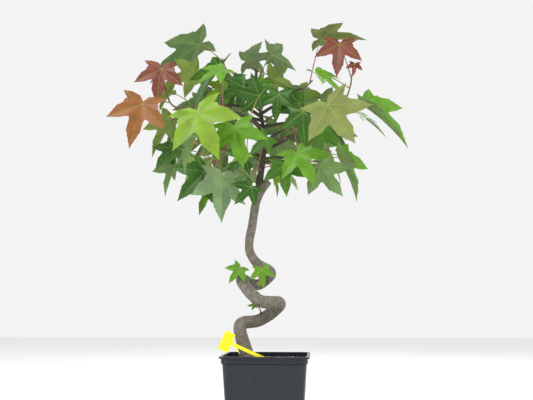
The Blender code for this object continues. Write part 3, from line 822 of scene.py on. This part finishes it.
def gritty(name, dark, pale):
    finish = Finish(name)
    finish.colour(finish.mix(finish.noise(420, 3), dark, pale))
    finish.rough(0.85 + 0.1 * finish.noise(200))
    finish.bump(finish.noise(900, 3), 0.0004)
    return finish


draw = random.Random(5)
body = bmesh.new()
skin = []
for i in range(MIX_CELLS + 1):
    row = []
    for j in range(MIX_CELLS + 1):
        place = [MIX_HALF * (2 * step / MIX_CELLS - 1) for step in (i, j)]
        edge = max(map(abs, place)) / MIX_HALF
        past = [max(0, abs(value) - MIX_HALF + MIX_CORNER) for value in place]
        if min(past) > 0:
            pull = max(past) / math.hypot(*past)
            reached = [MIX_HALF - MIX_CORNER + over * pull for over in past]
            place = [math.copysign(out, value) for out, value in zip(reached, place)]
        z = MIX_LEVEL - MIX_EDGE_DROP * max(0, edge - 0.85) / 0.15 + draw.uniform(-0.0006, 0.0006)
        row.append(body.verts.new((*place, z)))
    skin.append(row)
for first, second in zip(skin, skin[1:]):
    for j in range(MIX_CELLS):
        body.faces.new((first[j], second[j], second[j + 1], first[j + 1]))
top = [row[0] for row in skin[:-1]] + skin[-1][:-1]
top += [row[-1] for row in reversed(skin[1:])] + skin[0][:0:-1]
upper = top
for share, height in MIX_RINGS:
    lower = [body.verts.new((vert.co.x * share, vert.co.y * share, height)) for vert in top]
    for i, vert in enumerate(upper):
        j = (i + 1) % len(upper)
        body.faces.new((vert, lower[i], lower[j], upper[j]))
    upper = lower
body.faces.new(upper)
for _ in range(GRAINS):
    x, y = (draw.uniform(-MIX_HALF + 0.004, MIX_HALF - 0.004) for _ in range(2))
    kind = 0 if draw.random() < 0.6 else draw.choice((1, 2))
    size = draw.uniform(0.0009, 0.0019) if kind == 0 else draw.uniform(0.001, 0.0026)
    grain(body, Vector((x, y, MIX_LEVEL + 0.2 * size)), size, draw, kind)
peat = gritty("peat", (0.012, 0.009, 0.006, 1), (0.06, 0.042, 0.028, 1))
pumice = gritty("pumice", (0.3, 0.27, 0.22, 1), (0.55, 0.52, 0.45, 1))
pebble = gritty("pebble", (0.17, 0.11, 0.06, 1), (0.34, 0.24, 0.15, 1))
new_piece("mix_surface", body, (peat, pumice, pebble), ("soil",))

# The trunk: two turns of a corkscrew trained round a stake long gone, in smooth grey-brown bark
# with pale and warm patches and flecks, ring scars, and a dry slanted chop at the top.
BARK_STEP = 1.6
BARK_SIDES = 40
BARK_FOOT = 121.0
BARK_RELIEF = 0.3
BARK_WAVES = 7
WAVE_HEIGHT = 1.8  # this and the next two are shares of the relief
ROUGH = 0.3
SCAR_DEPTH = 0.8
SCAR_SHARE = 0.05
SHARP_ANGLE = 50


def bark_skin(body, path, radii, sides, relief, seed):
    """Rings along a limb, in millimetres, whose points stand in and out with the bark's relief."""
    draw = random.Random(seed)
    waves = [
        (draw.randint(1, 5), draw.uniform(0.05, 0.3), draw.uniform(0, math.tau)) for _ in range(BARK_WAVES)
    ]
    rings = []
    side = Vector((0.1, -1, 0.05))
    far = 0.0
    for i, place in enumerate(path):
        far += (place - path[max(i - 1, 0)]).length
        tangent = (path[min(i + 1, len(path) - 1)] - path[max(i - 1, 0)]).normalized()
        side = (side - tangent * side.dot(tangent)).normalized()
        other = tangent.cross(side)
        scar = -SCAR_DEPTH if draw.random() < SCAR_SHARE else 0
        ring = []
        for j in range(sides):
            turn = math.tau * j / sides
            wave = sum(math.sin(k * turn + f * far + p) for k, f, p in waves) / len(waves)
            out = radii[i] + relief * (WAVE_HEIGHT * wave + draw.uniform(-ROUGH, ROUGH) + scar)
            outward = side * math.cos(turn) + other * math.sin(turn)
            ring.append(body.verts.new((place + outward * out) * MM))
        rings.append(ring)
    for lower, upper in zip(rings, rings[1:]):
        for j in range(sides):
            k = (j + 1) % sides
            body.faces.new((lower[j], lower[k], upper[k], upper[j]))
    body.faces.new(reversed(rings[0]))
    body.faces.new(rings[-1])


def flat_cut(body, place, normal):
    cut = bmesh.ops.bisect_plane(
        body,
        geom=[*body.verts, *body.edges, *body.faces],
        plane_co=Vector(place) * MM,
        plane_no=Vector(normal),
        clear_outer=True,
    )
    rim = [item for item in cut["geom_cut"] if isinstance(item, bmesh.types.BMEdge)]
    bmesh.ops.contextual_create(body, geom=rim)


bark = Finish("bark")
mottle = bark.band(bark.noise(170, 5), 0.3, 0.7)
flecks = bark.band(bark.noise(520, 3), 0.6, 0.75)
warm = bark.band(bark.noise(28, 2), 0.5, 0.75)
ground = bark.mix(mottle, (0.105, 0.092, 0.068, 1), (0.24, 0.222, 0.178, 1))
ground = bark.mix(0.35 * warm, ground, (0.15, 0.095, 0.055, 1))
bark.colour(bark.mix(0.5 * flecks, ground, (0.04, 0.032, 0.024, 1)))
bark.rough(0.7 + 0.2 * mottle)
bark.bump(0.6 * bark.noise(420, 4) + 0.4 * bark.noise(110, 3), 0.0009, 0.7)

body = bmesh.new()
path = smooth_path(trunk_line, BARK_STEP)
radii = [along(TRUNK_RADII, share) for share in shares(path)]
bark_skin(body, path, radii, BARK_SIDES, BARK_RELIEF, 11)
flat_cut(body, (0, 0, BARK_FOOT), (0, 0, -1))
flat_cut(body, *STUB_CUT)
new_piece("trunk_bark", body, (bark,), ("trunk",), SHARP_ANGLE)

# The leader and boughs: younger wood, near-black brown, in places turning olive, with fine
# relief and the small rings that old leaves left.
YOUNG_STEP = 2.0
YOUNG_SIDES = 16
YOUNG_RELIEF = 0.14

young = Finish("young_bark")
age = young.band(young.noise(70, 3), 0.35, 0.65)
young.colour(young.mix(age, (0.02, 0.014, 0.01, 1), (0.085, 0.065, 0.035, 1)))
young.rough(0.55 + 0.2 * age)
young.bump(young.noise(500, 3), 0.0006)

body = bmesh.new()
for seed, name in enumerate(["leader", *routes]):
    path = smooth_path(crown.paths[name], YOUNG_STEP)
    if name == "leader":
        radii = [along(LEADER_RADII, share) for share in shares(path)]
    else:
        radii = tapered(path, *BOUGH_RADII)
    bark_skin(body, path, radii, YOUNG_SIDES, YOUNG_RELIEF, seed)
new_piece("young_wood", body, (young,), ("leader", *routes), SHARP_ANGLE)

# The twigs and leaf stalks: thin, smooth and olive to purplish red, a stalk thinning from its
# foot on the twig to the blade that it carries.
STALK_FOOT = 1.0
STALK_TIP = 0.55
STALK_STEP = 3.0
STALK_SIDES = 7
STALK_RELIEF = 0.03
TWIG_SIDES = 10
TWIG_RELIEF = 0.1

twig_skin = Finish("twig_skin", Roughness=0.5)
reddish = twig_skin.band(twig_skin.noise(40), 0.4, 0.6)
twig_skin.colour(twig_skin.mix(reddish, (0.1, 0.09, 0.03, 1), (0.16, 0.07, 0.05, 1)))
stalk_skin = Finish("stalk_skin", Roughness=0.42)
reddish = stalk_skin.band(stalk_skin.noise(22), 0.42, 0.6)
stalk_skin.colour(stalk_skin.mix(reddish, (0.26, 0.28, 0.06, 1), (0.3, 0.09, 0.09, 1)))

body = bmesh.new()
for seed, (name, (path, _)) in enumerate(stems.items()):
    fine = smooth_path(path, YOUNG_STEP)
    bark_skin(body, fine, tapered(fine, *stem_radii[name]), TWIG_SIDES, TWIG_RELIEF, 100 + seed)
new_piece("twigs", body, (twig_skin,), stems, SHARP_ANGLE)
body = bmesh.new()
for seed, (_, path, *_) in enumerate(crown.leaves):
    fine = smooth_path(path, STALK_STEP)
    bark_skin(body, fine, tapered(fine, STALK_FOOT, STALK_TIP), STALK_SIDES, STALK_RELIEF, 200 + seed)
new_piece("stalks", body, (stalk_skin,), stems, SHARP_ANGLE)

# The leaves: thin star blades of five toothed, long-pointed lobes, creased along the lobes'
# midribs, glossy green above and paler beneath. The youngest are red-brown, orange and crimson.
# Leaves that stand in shade get the dark tint, a darker copy of the green, which is painted shade.
LEAF_THICK = 0.35
TOOTH = 0.016
CREASE = 0.035
CREASE_TURN = 0.3
CREASE_REACH = 0.4
RIPPLE = 0.018
RIPPLES = (5, 7, 8)
EDGE_STEPS = 8
SINUS_STEPS = 3
RINGS = (0.12, 0.32, 0.55, 0.78, 1.0)
OUTER_LOBE_WIDTH = 0.09
MIDRIB_RADII = (0.62, 0.2)
VEIN_RADII = (0.3, 0.12)
SIDE_VEINS = ((0.2, 0.12), (0.36, 0.13), (0.52, 0.11), (0.68, 0.06))  # start and spread, as shares
SIDE_VEIN_RUN = 0.14
VEIN_COLOUR = (122, 150, 60)
VEIN_PALE = (158, 172, 92)
TINT_COLOURS = {
    "bright": ((92, 146, 18), (122, 152, 84)),
    "yellow": ((124, 160, 40), (142, 166, 78)),
    "medium": ((72, 124, 24), (112, 144, 84)),
    # dark: the leaf green made darker above and beneath for leaves that stand in shade, painted shade.
    "dark": ((50, 98, 20), (98, 130, 72)),
    "pale": ((104, 142, 84), (128, 156, 108)),
    "bronze": ((92, 110, 44), (124, 136, 70)),
    "red": ((122, 62, 50), (140, 92, 74)),
    "crimson": ((128, 34, 50), (140, 56, 66)),
    "orange": ((146, 92, 46), (150, 112, 66)),
}
# Every dark here marks a leaf that stands in shade, so its dark tint is painted shade.
TUFT_TINTS = {
    "leaves_top_left": "medium yellow dark yellow dark",
    "leaves_crown": "pale pale pale yellow",
    "leaves_left_tip": "red orange pale dark medium orange",
    "leaves_front_left": "yellow medium bright",
    "leaves_front": "bright yellow dark",
    "leaves_front_right": "bronze dark bright dark",
    "leaves_low_front": "dark medium dark",
    "leaves_low_left": "dark medium pale pale dark",
    "leaves_low_right": "bright medium medium yellow",
    "leaves_right_tip": "red crimson bright yellow bright medium",
    "leaves_middle_left": "dark dark medium",
    "leaves_middle_right": "dark dark",
    "leaves_right_top": "bronze pale pale medium",
    "sprout_front": "bright bright",
    "sprout_left": "bright yellow",
    "sprout_low": "bright",
}
DISPLAY_GAMMA = 2.2
# The dark tint dealt to some back leaves is painted shade.
BACK_TINTS = ("bright", "medium", "medium", "dark", "yellow")


def linear(colour):
    """A picture's 0 to 255 colour as the light it stands for."""
    return (*((value / 255) ** DISPLAY_GAMMA for value in colour), 1)


def leaf_finish(name, colour, roughness):
    finish = Finish(name, IOR=1.4)
    clouds = finish.band(finish.noise(55, 3), 0.35, 0.65)
    shade = (*(value * 0.72 for value in colour[:3]), 1)
    finish.colour(finish.mix(clouds, shade, colour))
    finish.rough(roughness + 0.12 * clouds)
    finish.bump(finish.noise(500, 3), 0.0003, 0.5)
    return finish


def leaf_rim():
    """The outline as turn and reach round the base: toothed lobe edges, with plain notches."""
    rim = []
    for i, (angle, size, width) in enumerate(LOBES):
        middle = math.radians(angle)
        shoulder = SHOULDER * size
        edge = []
        for step in range(EDGE_STEPS):
            share = step / EDGE_STEPS
            reach = shoulder + (size - shoulder) * share
            half = (width or OUTER_LOBE_WIDTH) * (1 - share) ** 1.3 * (1 + 0.5 * share)
            half += TOOTH * size * (1 - share) * (1 if step % 2 else -0.2)
            edge.append((math.atan2(half, reach), math.hypot(half, reach)))
        rim.extend((middle - turn, reach) for turn, reach in edge)
        rim.append((middle, size))
        rim.extend((middle + turn, reach) for turn, reach in reversed(edge))
        if i + 1 < len(LOBES):
            next_angle, next_size, next_width = LOBES[i + 1]
            next_half = next_width or OUTER_LOBE_WIDTH
            here, here_reach = rim[-1]
            there = math.radians(next_angle) - math.atan2(next_half, SHOULDER * next_size)
            there_reach = math.hypot(next_half, SHOULDER * next_size)
            for step in range(1, SINUS_STEPS + 1):
                share = step / (SINUS_STEPS + 1)
                reach = here_reach + (there_reach - here_reach) * share
                dip = (reach - SINUS) * math.sin(math.pi * share) ** 0.8
                rim.append((here + (there - here) * share, reach - dip))
    return [*rim, (math.radians(150), 0.2), (math.pi, NOTCH), (math.radians(210), 0.2)]


def on_blade(place, length, fold, wave, turn, reach, rise):
    """Where on a blade a turn and reach fall, in millimetres, raised off the blade's middle."""
    phase, ripples = wave
    away = min(abs(turn - math.radians(angle)) for angle, *_ in LOBES)
    height = blade_rise(turn, reach, fold)
    height += CREASE * min(1, away / CREASE_TURN) * min(1, reach / CREASE_REACH)
    height += RIPPLE * reach * reach * math.sin(phase + ripples * turn)
    flat = Vector((math.sin(turn) * reach * math.cos(fold), math.cos(turn) * reach, height))
    return place @ ((flat * length + Vector((0, 0, rise))) * MM) / MM


def leaf_mesh(body, outline, lie, materials):
    """One blade: rings from its base out to its rim, above and beneath, joined at the rim."""
    layers = []
    for side in (0.5, -0.5):
        rings = []
        for share in RINGS:
            rise = side * LEAF_THICK * (1.1 - 0.8 * share)
            rings.append([body.verts.new(lie(turn, reach * share, rise) * MM) for turn, reach in outline])
        layers.append((body.verts.new(lie(0, 0, side * LEAF_THICK) * MM), rings))
    for (middle, rings), material in zip(layers, materials):
        for i in range(len(outline)):
            j = (i + 1) % len(outline)
            body.faces.new((middle, rings[0][i], rings[0][j])).material_index = material
            for inner, outer in zip(rings, rings[1:]):
                body.faces.new((inner[i], outer[i], outer[j], inner[j])).material_index = material
    upper, lower = (rings[-1] for _, rings in layers)
    for i in range(len(outline)):
        j = (i + 1) % len(outline)
        body.faces.new((upper[i], lower[i], lower[j], upper[j])).material_index = materials[0]


def leaf_veins(body, lie):
    """A midrib along each lobe and veins off it in pairs, standing out of both faces."""
    for angle, size, width in LOBES:
        middle = math.radians(angle)
        narrow = (width or OUTER_LOBE_WIDTH) / LOBES[2][2]
        midrib = [lie(middle, size * share, 0) for share in (0, *RINGS)]
        midrib[-1] = midrib[-2].lerp(midrib[-1], 0.7)
        bark_skin(body, midrib, tapered(midrib, *MIDRIB_RADII), 4, 0, 0)
        for start, out in SIDE_VEINS:
            for side in (-1, 1):
                vein = []
                for share in (0, 0.5, 1):
                    ahead = size * (start + SIDE_VEIN_RUN * share)
                    across = side * size * out * narrow * share
                    vein.append(lie(middle + math.atan2(across, ahead), math.hypot(across, ahead), 0))
                bark_skin(body, vein, tapered(vein, *VEIN_RADII), 3, 0, 0)


finishes = []
for tint, (above, beneath) in TINT_COLOURS.items():
    finishes.append(leaf_finish(tint + "_above", linear(above), 0.36))
    finishes.append(leaf_finish(tint + "_beneath", linear(beneath), 0.55))
order = list(TINT_COLOURS)
outline = leaf_rim()
draw = random.Random(17)
body = bmesh.new()
veins = bmesh.new()
for (name, _, place, length, fold_degrees), index in zip(crown.leaves, kept):
    # A leaf given the dark tint gets painted shade in its colour.
    tint = TUFT_TINTS[name].split()[index] if name in TUFT_TINTS else draw.choice(BACK_TINTS)
    first = 2 * order.index(tint)
    fold = math.radians(fold_degrees)
    wave = (draw.uniform(0, math.tau), draw.choice(RIPPLES))
    lie = partial(on_blade, place, length, fold, wave)
    leaf_mesh(body, outline, lie, (first, first + 1))
    leaf_veins(veins, lie)
new_piece("leaves", body, finishes, stems, 60)
vein_skin = Finish("vein_skin", Roughness=0.45)
vein_skin.colour(vein_skin.mix(vein_skin.noise(60), linear(VEIN_COLOUR), linear(VEIN_PALE)))
new_piece("veins", veins, (vein_skin,), stems)
